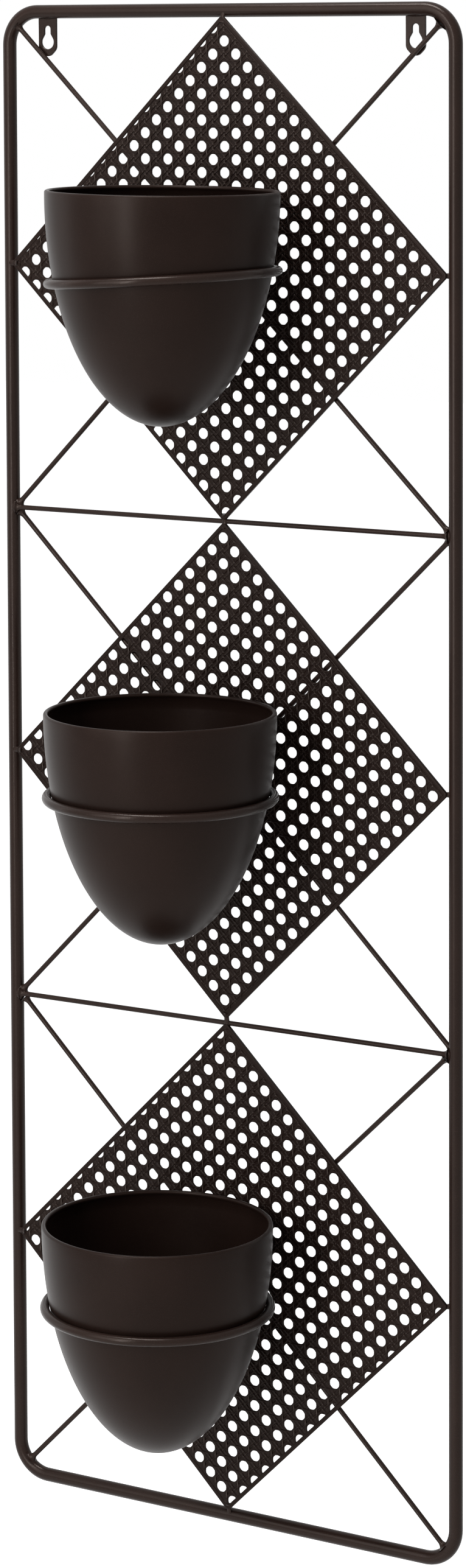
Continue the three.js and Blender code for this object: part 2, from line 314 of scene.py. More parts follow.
@dataclass
class Draft:
    """Points and faces of a mesh while it is put together."""

    points: list[Triple] = field(default_factory=list)
    faces: list[tuple[int, ...]] = field(default_factory=list)

    def add(self, points: np.ndarray, faces: Iterable[Sequence[int]]) -> None:
        """Adds points and the faces between them.

        Args:
            points: Array of points, one a row.
            faces: Faces that count from the first of these points.
        """
        base = len(self.points)
        self.points.extend(map(tuple, np.asarray(points, float).reshape(-1, 3).tolist()))
        self.faces.extend(tuple(base + index for index in face) for face in faces)

    def loft(self, rows: np.ndarray, closed: bool = False, caps: bool = True) -> None:
        """Joins rings of points with quads.

        Args:
            rows: Array of rings, each with the same number of points.
            closed: Whether the last ring joins the first.
            caps: Whether the ends are capped where the rings don't close.
        """
        count, width = rows.shape[:2]
        faces: list[tuple[int, ...]] = []
        for i in range(count if closed else count - 1):
            here, ahead = i * width, (i + 1) % count * width
            for k in range(width):
                beside = (k + 1) % width
                faces.append((here + k, here + beside, ahead + beside, ahead + k))
        if caps and not closed:
            faces.append(tuple(reversed(range(width))))
            faces.append(tuple(range((count - 1) * width, count * width)))
        self.add(rows.reshape(-1, 3), faces)

    def sweep(
        self, path: np.ndarray, radii: Sequence[float], sides: int = 20, closed: bool = False,
        depths: Sequence[float] | None = None,
    ) -> None:
        """Sweeps a circle or an ellipse along a path that nowhere runs straight back.

        Args:
            path: Points of the centre line.
            radii: Radius at each point.
            sides: Points round the circle.
            closed: Whether the path closes on itself.
            depths: Radius from front to back, where it differs.
        """
        path = np.asarray(path, float)
        along = np.roll(path, -1, 0) - np.roll(path, 1, 0) if closed else np.gradient(path, axis=0)
        along /= np.linalg.norm(along, axis=1)[:, None]
        side = np.cross(along, (0.0, 1.0, 0.0))
        side /= np.linalg.norm(side, axis=1)[:, None]
        other = np.cross(along, side)
        wide = side * np.asarray(radii, float)[:, None]
        deep = other * np.asarray(radii if depths is None else depths, float)[:, None]
        self.tube(path, wide, deep, sides, closed)

    def tube(self, path: np.ndarray, wide: np.ndarray, deep: np.ndarray, sides: int, closed: bool) -> None:
        """Adds a tube whose section is spanned by two vectors.

        Args:
            path: Points of the centre line.
            wide: First half axis of the section at each point.
            deep: Second half axis.
            sides: Points round the section.
            closed: Whether the path closes on itself.
        """
        angle = round_angles(sides)[None, :, None]
        self.loft(path[:, None] + wide[:, None] * np.cos(angle) + deep[:, None] * np.sin(angle), closed)

    def turn(self, profile: np.ndarray, centre: Vector, steps: int = 96) -> None:
        """Turns a closed profile about an upright axis.

        Args:
            profile: Rows of radius and height; it starts and ends on the axis.
            centre: Point on the axis that heights count from.
            steps: Points round the axis.
        """
        inner = profile[1:-1]
        rows = rings(inner[:, 0], inner[:, 1], steps) + np.asarray(centre)
        base = len(self.points)
        self.loft(rows, caps=False)
        for end, ring in ((profile[0], 0), (profile[-1], steps * (len(inner) - 1))):
            tip = len(self.points)
            self.points.append((centre.x, centre.y, centre.z + end[1]))
            for k in range(steps):
                pair = (base + ring + k, base + ring + (k + 1) % steps)
                self.faces.append((tip, *(reversed(pair) if ring == 0 else pair)))

    def blob(self, centre: Vector, size: Triple, steps: int = 18, rings_down: int = 10) -> None:
        """Adds a rounded, slightly rippled lump.

        Args:
            centre: Middle of the lump.
            size: Half its length along X, Y and Z.
            steps: Points round it.
            rings_down: Rings from its top to its bottom.
        """
        down = np.linspace(0, math.pi, rings_down + 2)[1:-1]
        unit = rings(np.sin(down), np.cos(down), steps)
        ripple = 1 + 0.05 * np.sin(7 * unit[..., 0] + 3) * np.cos(6 * unit[..., 2] + centre.x * 900)
        rows = unit * ripple[..., None] * np.asarray(size)
        self.loft(np.flip(rows, 0) + np.asarray(centre))

    def neck(self, start: Vector, end: Vector, radii: Triple, flat: float) -> None:
        """Adds a neck of weld that is narrowest in its middle and rounded at its far end.

        Args:
            start: Where it leaves one piece.
            end: Where it sinks into the other.
            radii: Radius at the start, in the middle and at the end.
            flat: Its depth as a share of its width.
        """
        share = np.linspace(0, 1, 17)
        slim = (4 * share * (1 - share)) ** 0.6
        width = radii[0] + (radii[2] - radii[0]) * share
        width += (radii[1] - width) * slim
        width *= np.sqrt(1 - np.clip((share - 0.8) / 0.201, 0, 1) ** 2)
        path = np.array([tuple(start.lerp(end, s)) for s in share])
        self.sweep(path, width, 16, depths=width * flat)

    def make(self, name: str, sharp: float = 35.0) -> bpy.types.Object:
        """Turns the draft into an object, faced outwards and shaded smooth.

        Args:
            name: Name of the object.
            sharp: Edges bent by more degrees than this stay sharp.

        Returns:
            The new object, linked to the scene.
        """
        mesh = bpy.data.meshes.new(name)
        mesh.from_pydata(self.points, [], self.faces)
        edit = bmesh.new()
        edit.from_mesh(mesh)
        bmesh.ops.recalc_face_normals(edit, faces=edit.faces)
        edit.to_mesh(mesh)
        edit.free()
        mesh.validate()
        mesh.shade_smooth()
        mesh.set_sharp_from_angle(angle=math.radians(sharp))
        made = bpy.data.objects.new(name, mesh)
        bpy.context.scene.collection.objects.link(made)
        return made


def round_angles(steps: int) -> np.ndarray:
    """Angles of evenly spaced points round a circle."""
    return np.linspace(0, 2 * math.pi, steps, endpoint=False)


def rings(radii: np.ndarray, heights: np.ndarray, steps: int) -> np.ndarray:
    """Rings of points about the Z axis.

    Args:
        radii: Radius of each ring.
        heights: Height of each ring.
        steps: Points round each ring.

    Returns:
        Array of rings.
    """
    angle = round_angles(steps)
    flat = np.stack([np.cos(angle), np.sin(angle), np.zeros(steps)], -1)
    return radii[:, None, None] * flat + heights[:, None, None] * np.array([0.0, 0.0, 1.0])


def smoothstep(value: np.ndarray | float) -> np.ndarray | float:
    """Eases a value from 0 to 1 between 0 and 1."""
    value = np.clip(value, 0.0, 1.0)
    return value * value * (3 - 2 * value)


# ---- sizes shared by the pieces


@dataclass(frozen=True)
class Layout:
    """Sizes of the frame and the places in it that every piece refers to."""

    width: float = 362 * MM
    height: float = 1056.5 * MM
    tube: float = 9.5 * MM
    corner: float = 23 * MM
    rail_above_seat: float = 11.5 * MM
    rod: float = 3.5 * MM
    hem: float = 1.4 * MM
    sheet: float = 0.8 * MM
    sheet_proud: float = 0.25 * MM
    contact: float = 0.2 * MM
    panel_half: float = 172.9 * MM
    panel_rise: Triple = (-1.5 * MM, 1.5 * MM, 2.5 * MM)

    @property
    def tube_x(self) -> float:
        """Distance of a side tube's centre line from the middle."""
        return (self.width - self.tube) / 2

    @property
    def tube_y(self) -> float:
        """Depth of the tube's centre line; its back touches the wall."""
        return -self.tube / 2

    @property
    def bay_height(self) -> float:
        """Distance between crossbars."""
        return (self.height - self.tube) / 3

    @property
    def sheet_front(self) -> float:
        """Depth of the sheets' plain front."""
        return -self.tube - self.sheet_proud

    @property
    def hem_y(self) -> float:
        """Depth of the middle of the hems behind the sheets."""
        return self.sheet_front + self.sheet + self.contact + self.hem / 2

    @property
    def crossbar_y(self) -> float:
        """Depth of the crossbars' centre lines."""
        return self.sheet_front + self.sheet + self.contact + self.rod / 2

    @property
    def brace_y(self) -> float:
        """Depth of the diagonals' centre lines."""
        return self.hem_y + self.hem / 2 + self.contact + self.rod / 2

    def line_z(self, bays: float) -> float:
        """Height of the line that lies the given number of bays below the top rail."""
        return self.rail_above_seat - bays * self.bay_height

    def panel_z(self, bay: Bay) -> float:
        """Height of a panel's middle."""
        return self.line_z(bay.value + 0.5) + self.panel_rise[bay.value]


# ---- outer frame


@dataclass
class OuterFrame:
    """The loop of bent tube and its hanger plates."""

    layout: Layout
    sides: int = 32
    bend_steps: int = 16
    plate_from_tube: float = 30.75 * MM
    plate_width: float = 14.8 * MM
    plate_thick: float = 1.5 * MM
    plate_top: float = 8 * MM
    plate_low: float = -19.5 * MM
    plate_cut: float = 5 * MM
    plate_soften: float = 2.2 * MM
    slot_half: float = 2.55 * MM
    head_radius: float = 5 * MM
    head_drop: float = 8.8 * MM
    keyhole_low: float = 0.8 * MM
    shoulder: float = 3.2 * MM
    slope: float = 2.2 * MM
    bevel: float = 0.3 * MM
    rays: int = 144

    def path(self) -> np.ndarray:
        """The tube's centre line, once round.

        Returns:
            Points of the closed line.
        """
        lay = self.layout
        r = lay.corner
        top, low = lay.line_z(0), lay.line_z(3)
        x = lay.tube_x - r
        points = []
        for quarter, centre in enumerate(((x, top - r), (-x, top - r), (-x, low + r), (x, low + r))):
            for angle in (quarter + np.linspace(0, 1, self.bend_steps + 1)) * math.pi / 2:
                across, up = centre[0] + r * math.cos(angle), centre[1] + r * math.sin(angle)
                points.append((across, lay.tube_y, up))
        return np.array(points)

    def build(self, palette: Palette) -> None:
        """Makes the tube and the two plates.

        Args:
            palette: Finishes to dress the pieces with.
        """
        draft = Draft()
        path = self.path()
        draft.sweep(path, [self.layout.tube / 2] * len(path), self.sides, closed=True)
        palette.place(draft.make("outer_tube"), Slot.FRAME, "frame_tube")
        for side, hand in (("left", -1), ("right", 1)):
            plate = self.plate(hand * (self.layout.tube_x - self.plate_from_tube), f"keyhole_plate_{side}")
            palette.place(plate, Slot.FRAME, f"hanger_plate_{side}")

    def plate(self, x: float, name: str) -> bpy.types.Object:
        """Makes one hanger plate round its keyhole.

        Args:
            x: Where the keyhole's middle is.
            name: Name of the piece.

        Returns:
            The plate.
        """
        eye = Vector((0.0, -self.head_drop - self.keyhole_low))
        front = self.layout.brace_y + self.layout.rod / 2 + self.layout.contact
        back = front + self.plate_thick
        aims = [Vector((math.cos(angle), math.sin(angle))) for angle in round_angles(self.rays)]
        rows = []
        for outline, sign in ((self._keyhole(), 1), (self._outline(), -1)):
            reach = np.array([[self._reach(eye, aim, outline)] for aim in aims])
            ring = np.array(eye) + np.array(aims) * reach
            flat = ring + np.array(aims) * self.bevel * sign
            rows += [(ring, back), (ring, front + self.bevel), (flat, front)][::sign]
        grid = np.array([[(x + px, y, pz) for px, pz in ring] for ring, y in rows])
        draft = Draft()
        draft.loft(grid, closed=True)
        return draft.make(name, 20.0)

    def _outline(self) -> list[Vector]:
        """The plate's outer edge, with its cut lower corners softened.

        Returns:
            Points, seen from the front.
        """
        half, top, low, cut = self.plate_width / 2, self.plate_top, self.plate_low, self.plate_cut
        right = [Vector((half, top)), Vector((half, low + cut)), Vector((half - cut, low))]
        around = [*right, *(Vector((-point.x, point.y)) for point in reversed(right))]
        points = [around[0]]
        for before, here, after in zip(around, around[1:], around[2:]):
            start = here + (before - here).normalized() * self.plate_soften
            end = here + (after - here).normalized() * self.plate_soften
            for share in np.linspace(0, 1, 6):
                points.append(start.lerp(here, share).lerp(here.lerp(end, share), share))
        return [*points, around[-1]]

    def _keyhole(self) -> list[Vector]:
        """The keyhole's edge: a round head, sloping shoulders and a slot with a round top.

        Returns:
            Points, seen from the front.
        """
        edge = math.acos(self.shoulder / self.head_radius)
        points = []
        for angle in np.linspace(edge, 2 * math.pi - edge, 60):
            points.append(Vector((math.sin(angle), math.cos(angle))) * self.head_radius)
        points.append(Vector((-self.slot_half, self.shoulder + self.slope)))
        for angle in np.linspace(-math.pi / 2, math.pi / 2, 24):
            round_top = Vector((math.sin(angle), math.cos(angle))) * self.slot_half
            points.append(round_top + Vector((0.0, self.head_drop)))
        points.append(Vector((self.slot_half, self.shoulder + self.slope)))
        return [point - Vector((0.0, self.head_drop + self.keyhole_low)) for point in points]

    @staticmethod
    def _reach(eye: Vector, aim: Vector, outline: list[Vector]) -> float:
        """Distance along a ray to a closed outline.

        Args:
            eye: Start of the ray.
            aim: Its direction.
            outline: Corners of the outline.

        Returns:
            The distance.
        """
        best = math.inf
        for i, a in enumerate(outline):
            edge = outline[(i + 1) % len(outline)] - a
            across = aim.x * edge.y - aim.y * edge.x
            if abs(across) < 1e-12:
                continue
            gap = a - eye
            reach = (gap.x * edge.y - gap.y * edge.x) / across
            share = (gap.x * aim.y - gap.y * aim.x) / across
            if reach > 0 and -1e-9 <= share <= 1 + 1e-9:
                best = min(best, reach)
        return best


# ---- rods and welds


@dataclass(frozen=True)
class BraceSlip:
    """How far the ends of a bay's hand-set diagonals lie to the right of where they belong, in mm.

    Attributes:
        whole: Upper left and lower right end of the whole diagonal.
        high_right: Corner end of the upper half one, and where its line meets the bay's middle.
        low_left: The same of the lower half one.
    """

    whole: Pair
    high_right: Pair
    low_left: Pair


BRACE_SLIPS = {
    Bay.UPPER: BraceSlip((-2.4, -2.2), (-0.9, -1.3), (2.8, -2.0)),
    Bay.MIDDLE: BraceSlip((3.7, 0.3), (-1.4, -1.9), (2.7, -1.8)),
    Bay.LOWER: BraceSlip((4.5, 1.6), (-3.8, -6.0), (-0.6, -4.6)),
}


@dataclass
class Bracing:
    """Crossbars and diagonals, with the fillets of weld at their ends.

    Attributes:
        fillet: Length of the flare at a rod's end.
        spread: How much wider the flare makes the rod.
        bend_swell: How many times wider it is in the frame's bends.
        middle_swell: How wide it is where half a diagonal meets the whole one.
        flare_depth: Its depth as a share of its width.
        half_gap: How far a half diagonal starts from the whole one's axis, in rods.
    """

    layout: Layout
    sides: int = 16
    fillet: float = 5 * MM
    spread: float = 3.4 * MM
    bend_swell: float = 1.6
    middle_swell: float = 0.4
    flare_depth: float = 0.45
    half_gap: float = 0.4

    def rod(self, start: Vector, end: Vector, name: str, swells: Pair = (1, 1)) -> bpy.types.Object:
        """Makes a straight rod that flares into a fillet of weld at its ends.

        Args:
            start: One end of the centre line.
            end: The other end.
            name: Name of the piece.
            swells: How much of the full flare the start and the end have.

        Returns:
            The rod.
        """
        length = (end - start).length
        near = self.fillet * np.linspace(0, 1, 9) ** 1.4
        run = np.linspace(self.fillet, length - self.fillet, 10)[1:-1]
        along = np.concatenate([near, run, length - near[::-1]])
        radius = self.layout.rod / 2
        flare = np.zeros(len(along))
        for swell, distance in zip(swells, (along, length - along)):
            left = np.clip(1 - distance / self.fillet, 0, 1)
            flare += swell * self.spread * (1 - np.sqrt(1 - left**2))
        aim = (end - start).normalized()
        draft = Draft()
        path = np.array([tuple(start + aim * s) for s in along])
        draft.sweep(path, radius + flare, self.sides, depths=radius + flare * self.flare_depth)
        return draft.make(name)

    def corner(self, bay: Bay, right: bool, top: bool, slip: float) -> Vector:
        """Where a diagonal's centre line meets the tube's.

        Args:
            bay: The bay.
            right: Whether the right corner is meant.
            top: Whether the top corner is meant.
            slip: How far to the right the diagonal is set, in mm.

        Returns:
            The point.
        """
        lay = self.layout
        edge = bay.value + (0 if top else 1)
        inset = lay.corner * (1 - math.sqrt(0.5)) if edge in (0, 3) else 0.0
        x = (1 if right else -1) * (lay.tube_x - inset) + slip * MM
        return Vector((x, lay.brace_y, lay.line_z(edge) + (-inset if top else inset)))

    def build(self, palette: Palette) -> None:
        """Makes the crossbars and the diagonals of each bay.

        Args:
            palette: Finishes to dress the pieces with.
        """
        lay = self.layout
        reach = lay.tube * 0.46
        for bays, name in ((1, "upper"), (2, "lower")):
            end = Vector((lay.tube_x - reach, lay.crossbar_y, lay.line_z(bays)))
            start = Vector((-end.x, end.y, end.z))
            palette.place(self.rod(start, end, f"crossbar_{name}_rod"), Slot.FRAME, f"crossbar_{name}")
        for bay, slips in BRACE_SLIPS.items():
            first = self.corner(bay, False, True, slips.whole[0])
            last = self.corner(bay, True, False, slips.whole[1])
            aim = (last - first).normalized() * reach
            swells = (self._swell(bay, True), self._swell(bay, False))
            whole = self.rod(first + aim, last - aim, f"diagonal_{bay.word}_whole", swells)
            palette.place(whole, Slot.FRAME, f"brace_{bay.word}_whole")
            for high in (True, False):
                word, slip = ("high_right", slips.high_right) if high else ("low_left", slips.low_left)
                corner = self.corner(bay, high, high, slip[0])
                middle = Vector((slip[1] * MM, lay.brace_y, lay.line_z(bay.value + 0.5)))
                start = self._crossing(corner, middle, first, last)
                run = (corner - start).normalized()
                near, far = start + run * lay.rod * self.half_gap, corner - run * reach
                swells = (self.middle_swell, self._swell(bay, high))
                half = self.rod(near, far, f"diagonal_{bay.word}_{word}", swells)
                palette.place(half, Slot.FRAME, f"brace_{bay.word}_{word}")

    def _swell(self, bay: Bay, top: bool) -> float:
        """How far a diagonal flares at its end: more in the frame's bends than at a crossbar."""
        in_bend = bay is (Bay.UPPER if top else Bay.LOWER)
        return self.bend_swell if in_bend else 1.0

    @staticmethod
    def _crossing(start: Vector, end: Vector, first: Vector, last: Vector) -> Vector:
        """Where two lines in the same upright plane cross.

        Args:
            start: A point on the first line.
            end: Another point on it.
            first: A point on the second line.
            last: Another point on it.

        Returns:
            The point.
        """
        along, across, gap = end - start, last - first, first - start
        share = (gap.x * across.z - gap.z * across.x) / (along.x * across.z - along.z * across.x)
        return start + along * share


@dataclass
class Welds:
    """Weld lumps where panels, rods and plates join the tube."""

    layout: Layout
    left_neck: Triple = (3.0 * MM, 2.1 * MM, 3.4 * MM)
    right_neck: Triple = (2.6 * MM, 1.8 * MM, 4.2 * MM)
    rail_neck: Triple = (2.9 * MM, 1.7 * MM, 2.3 * MM)
    bar_neck: Triple = (2.9 * MM, 1.9 * MM, 3.0 * MM)
    left_lump: Triple = (3.9 * MM, 3.2 * MM, 5.0 * MM)
    right_lump: Triple = (3.2 * MM, 2.4 * MM, 4.2 * MM)
    plate_bead: Triple = (7.4 * MM, 0.9 * MM, 0.8 * MM)
    draft: Draft = field(default_factory=Draft)

    def build(self, palette: Palette) -> None:
        """Makes the welds of each bay and of the hanger plates as one piece.

        Args:
            palette: Finishes to dress the pieces with.
        """
        lay = self.layout
        for bay in Bay:
            self._sides(bay)
            self._ends(bay)
        inner = lay.tube_x - lay.tube / 2
        for bays in (1, 2):
            z = lay.line_z(bays)
            self.draft.blob(Vector((-inner - 1.4 * MM, -6.3 * MM, z)), self.left_lump)
            self.draft.blob(Vector((inner + 0.9 * MM, -6.0 * MM, z)), self.right_lump)
        for hand in (-1, 1):
            x = hand * (lay.tube_x - OuterFrame.plate_from_tube)
            self.draft.blob(Vector((x, -3.3 * MM, 7.1 * MM)), self.plate_bead)
        palette.place(self.draft.make("weld_lumps", 60.0), Slot.FRAME)

    def _sides(self, bay: Bay) -> None:
        """Adds the welds between a panel's side tips and the side tubes.

        Args:
            bay: Bay of the panel.
        """
        lay = self.layout
        y, z = lay.sheet_front, lay.panel_z(bay)
        start = Vector((-lay.panel_half + 5 * MM, y + 0.3 * MM, z))
        end = Vector((-lay.tube_x - 1 * MM, -7.9 * MM, z))
        self.draft.neck(start, end, self.left_neck, 0.5)
        start = Vector((lay.panel_half - 4 * MM, y + 1.0 * MM, z))
        end = Vector((lay.tube_x - lay.tube / 2 + 2 * MM, y + 3.6 * MM, z))
        self.draft.neck(start, end, self.right_neck, 0.7)

    def _ends(self, bay: Bay) -> None:
        """Adds the welds between a panel's upper and lower tips and the rails or crossbars.

        Args:
            bay: Bay of the panel.
        """
        lay = self.layout
        for edge, sign in ((bay.value, 1), (bay.value + 1, -1)):
            tip = lay.panel_z(bay) + sign * (lay.panel_half - 5 * MM)
            start = Vector((0.0, lay.sheet_front + 0.5 * MM, tip))
            line = lay.line_z(edge)
            if edge in (0, len(Bay)):
                end = Vector((0.8 * MM, -8.0 * MM, line + sign * 1.2 * MM))
                self.draft.neck(start, end, self.rail_neck, 0.5)
            else:
                end = Vector((0.0, lay.crossbar_y - 0.8 * MM, line + sign * 0.6 * MM))
                self.draft.neck(start, end, self.bar_neck, 0.6)


# ---- cane panels


@dataclass(frozen=True)
class CaneCut:
    """How the running pattern falls on one sheet, in mm up right and up left of its middle.

    Attributes:
        first: Place of the first hole.
        right: Step to the next hole up right.
        left: Step to the next hole up left.
    """

    first: Pair
    right: Pair
    left: Pair

    def at(self, i: np.ndarray | float, j: np.ndarray | float) -> np.ndarray:
        """Turns counts of holes into a place on the sheet.

        Args:
            i: Holes up right from the first one.
            j: Holes up left from the first one.

        Returns:
            Distances up right and up left, in metres.
        """
        steps = [self.first[k] + i * self.right[k] + j * self.left[k] for k in (0, 1)]
        return np.stack(steps, -1) * MM


CANE_CUTS = {
    Bay.UPPER: CaneCut((-116.47, -119.33), (12.751, -0.078), (-0.110, 12.732)),
    Bay.MIDDLE: CaneCut((-113.49, -111.97), (12.579, -0.188), (0.062, 12.786)),
    Bay.LOWER: CaneCut((-114.20, -119.67), (12.704, -0.084), (-0.100, 12.709)),
}


@dataclass
class CanePanel:
    """A punched and embossed cane-pattern sheet with a hem behind its border."""

    layout: Layout
    bay: Bay
    count: int = 21
    hole_half: float = 3.76 * MM
    corner_ease: float = 0.955
    border: float = 2.9 * MM
    border_proud: float = 0.42 * MM
    tip_cut: float = 2 * MM
    hem_width: float = 2.0 * MM
    pair_width: float = 1.9 * MM
    pair_gap: float = 0.098
    slant_width: float = 1.45 * MM
    pair_lift: float = 0.38 * MM
    pair_weave: float = 0.4 * MM
    slant_lift: float = 0.34 * MM
    slant_weave: float = 0.5 * MM
    level_share: float = 0.7
    strand_sunk: float = 0.15 * MM
    strand_ease: float = 2.5 * MM
    shortest: float = 5 * MM
    hem_inset: float = 0.15 * MM
    hem_ease: float = 0.3 * MM
    cell_steps: int = 16
    draft: Draft = field(default_factory=Draft)

    @property
    def half(self) -> float:
        """Half the side of the sheet."""
        return self.layout.panel_half / math.sqrt(2)

    @property
    def field(self) -> float:
        """Half the side of the patterned part inside the border."""
        return self.half - self.border

    def to_frame(self, points: np.ndarray) -> np.ndarray:
        """Turns places on the sheet into places in the frame.

        Args:
            points: Rows of distance up right, distance up left and height off the front.

        Returns:
            Rows of X, Y and Z.
        """
        u, v, out = points[..., 0], points[..., 1], points[..., 2]
        root = math.sqrt(0.5)
        x = (u - v) * root
        z = (u + v) * root + self.layout.panel_z(self.bay)
        return np.stack([x, self.layout.sheet_front - out, z], -1)

    def build(self, palette: Palette) -> None:
        """Makes the sheet and its hem.

        Args:
            palette: Finishes to dress the pieces with.
        """
        word = self.bay.word
        self._plate()
        self._border()
        self._strands()
        palette.place(self.draft.make(f"cane_{word}_sheet", 50.0), Slot.PANEL, f"cane_sheet_{word}")
        self._hem(palette)

    def _plate(self) -> None:
        """Adds the sheet with its eight-sided holes, cell by cell."""
        cells = Draft()
        cut, steps, thick = CANE_CUTS[self.bay], self.cell_steps, self.layout.sheet
        angle = np.arange(steps) * 2 * math.pi / steps
        way = np.stack([np.cos(angle), np.sin(angle)], -1)
        at_corner = np.arange(steps) % 2 == 1
        hole = self.hole_half * np.where(at_corner, self.corner_ease / math.cos(math.pi / 8), 1.0)
        square = way / np.abs(way).max(axis=1)[:, None] / 2
        half_cell = 6 * MM
        for i, j in itertools.product(range(-1, self.count), repeat=2):
            middle = cut.at(i, j)
            if abs(middle).max() > self.half + half_cell:
                continue
            edge = cut.at(i + square[:, 0], j + square[:, 1])
            inner = middle + way * hole[:, None]
            rings = ((edge, 0.0), (inner, 0.0), (inner, -thick), (edge, -thick))
            rows = [np.column_stack([flat, np.full(steps, out)]) for flat, out in rings]
            cells.loft(np.array(rows), caps=False)
        self._clip(cells)

    def _clip(self, cells: Draft) -> None:
        """Cuts the cells off at the border and adds what is left.

        Args:
            cells: The pattern, in the sheet's own places.
        """
        mesh = bpy.data.meshes.new("cells")
        mesh.from_pydata(cells.points, [], cells.faces)
        edit = bmesh.new()
        edit.from_mesh(mesh)
        bmesh.ops.remove_doubles(edit, verts=edit.verts, dist=0.01 * MM)
        for normal in ((1, 0, 0), (-1, 0, 0), (0, 1, 0), (0, -1, 0)):
            geom = edit.verts[:] + edit.edges[:] + edit.faces[:]
            edge = Vector(normal) * self.field
            bmesh.ops.bisect_plane(edit, geom=geom, plane_co=edge, plane_no=normal, clear_outer=True)
        edit.verts.index_update()
        faces = [[vert.index for vert in face.verts] for face in edit.faces]
        self.draft.add(self.to_frame(np.array([tuple(vert.co) for vert in edit.verts])), faces)
        edit.free()
        bpy.data.meshes.remove(mesh)

    @staticmethod
    def _turned(a: float, b: float, out: float, quarters: int) -> Triple:
        """Turns a place on the sheet by quarters of a turn."""
        turn = quarters * math.pi / 2
        return a * math.cos(turn) - b * math.sin(turn), a * math.sin(turn) + b * math.cos(turn), out

    def _border(self) -> None:
        """Adds the plain border round the pattern, with a crease along its inner side."""
        rise = ((0, -1), (0, 0.1), (0.09, 0.85), (0.22, 1), (0.5, 0.8))
        fall = ((0.82, 0.9), (0.95, 0.6), (1, 0), (1, -1))
        rows = []
        for quarter, ahead in itertools.product(range(4), (False, True)):
            row = []
            for share, level in (*rise, *fall):
                reach = self.field + share * self.border
                out = level * (self.border_proud if level > 0 else self.layout.sheet)
                pair = (reach, reach - self.tip_cut * share)
                row.append(self._turned(*(pair[::-1] if ahead else pair), out, quarter))
            rows.append(row)
        self.draft.loft(self.to_frame(np.array(rows)), closed=True)

    def _strands(self) -> None:
        """Adds the embossed strands: pairs between the holes and single ones across them."""
        gap = self.pair_gap
        pair_at = np.array([0.0, 0.5 - 2.2 * gap, 0.5 - gap, 0.5, 0.5 + gap, 0.5 + 2.2 * gap])
        crossing = np.array([0.0, 0.0, -1.0, 0.0, 1.0, 0.0]) * self.pair_weave
        dip = np.array([-0.5, 0.2, 0.0, 0.0, 0.0, 0.2]) * self.pair_weave
        for i in range(-2, self.count):
            for side in (-1, 1):
                middle = i + 0.5 + side * gap
                height = self.pair_lift + side * crossing
                self._strand((middle, 0.0), (0.0, 1.0), self.pair_width, pair_at, height + dip)
                height = self.pair_lift - side * crossing
                self._strand((0.0, middle), (1.0, 0.0), self.pair_width, pair_at, height - dip)
        slant_at = np.linspace(0, 1, 8, endpoint=False)
        wave = self.slant_weave * np.cos(2 * math.pi * slant_at)
        for i in range(-self.count, 2 * self.count):
            for lean in (-1, 1):
                height = (self.slant_lift + lean * wave) * (self.level_share if lean > 0 else 1.0)
                self._strand((i + 0.5, 0.0), (1.0, float(-lean)), self.slant_width, slant_at, height)

    def _strand(
        self, origin: Pair, step: Pair, width: float, phases: np.ndarray,
        heights: np.ndarray,
    ) -> None:
        """Adds one embossed strand that rises and dips as if woven.

        Args:
            origin: A point that it runs through, counted in holes.
            step: The way it runs, one period long, counted in holes.
            width: Its width.
            phases: Places along one period, from 0 to 1.
            heights: Its height at each of them.
        """
        cut = CANE_CUTS[self.bay]
        first = cut.at(*origin)
        aim = cut.at(origin[0] + step[0], origin[1] + step[1]) - first
        start, end = -math.inf, math.inf
        for k in (0, 1):
            if abs(aim[k]) < 1e-9:
                continue
            ends = sorted(((-self.field - first[k]) / aim[k], (self.field - first[k]) / aim[k]))
            start, end = max(start, ends[0]), min(end, ends[1])
        period = float(np.linalg.norm(aim))
        if (end - start) * period < self.shortest:
            return
        whole = np.arange(math.floor(start), math.ceil(end))
        share = (whole[:, None] + phases).ravel()
        share = np.concatenate([[start], share[(share > start) & (share < end)], [end]])
        base = first + aim * share[:, None]
        side = np.array([-aim[1], aim[0]]) / period
        if np.abs(base + side * width / 2).max() > self.field + width:
            return
        height = np.interp(share % 1, [*phases, 1.0], [*heights, heights[0]])
        to_end = np.minimum(share - start, end - share) * period
        height *= 0.25 + 0.75 * smoothstep(to_end / self.strand_ease)
        rows = []
        for across, level in ((-1, 0.0), (-0.5, 1.0), (0.5, 1.0), (1, 0.0)):
            out = height * level if level else np.minimum(height, 0) - self.strand_sunk
            rows.append(np.column_stack([base + side * across * width / 2, out]))
        self.draft.loft(self.to_frame(np.stack(rows, 1)))

    def _hem(self, palette: Palette) -> None:
        """Makes the four sides of the hem behind the sheet.

        Args:
            palette: Materials to take the finish from.
        """
        lay = self.layout
        back, ease = lay.sheet + lay.contact, self.hem_ease
        outer, far = self.half - self.hem_inset, -back - lay.hem
        inner = outer - self.hem_width
        section = [
            (outer, -back), (outer, far + ease), (outer - ease, far),
            (inner + ease, far), (inner, far + ease), (inner, -back),
        ]
        for quarter, side in enumerate(("high_right", "high_left", "low_left", "low_right")):
            rows = []
            for end in (-1, 1):
                ends = [(a, end * (a - self.tip_cut / 2), out) for a, out in section]
                rows.append([self._turned(*place, quarter) for place in ends])
            draft = Draft()
            draft.loft(self.to_frame(np.array(rows)))
            hem = draft.make(f"hem_{self.bay.word}_{side}", 20.0)
            palette.place(hem, Slot.PANEL, f"rim_rod_{self.bay.word}_{side}")


# ---- rings and pots


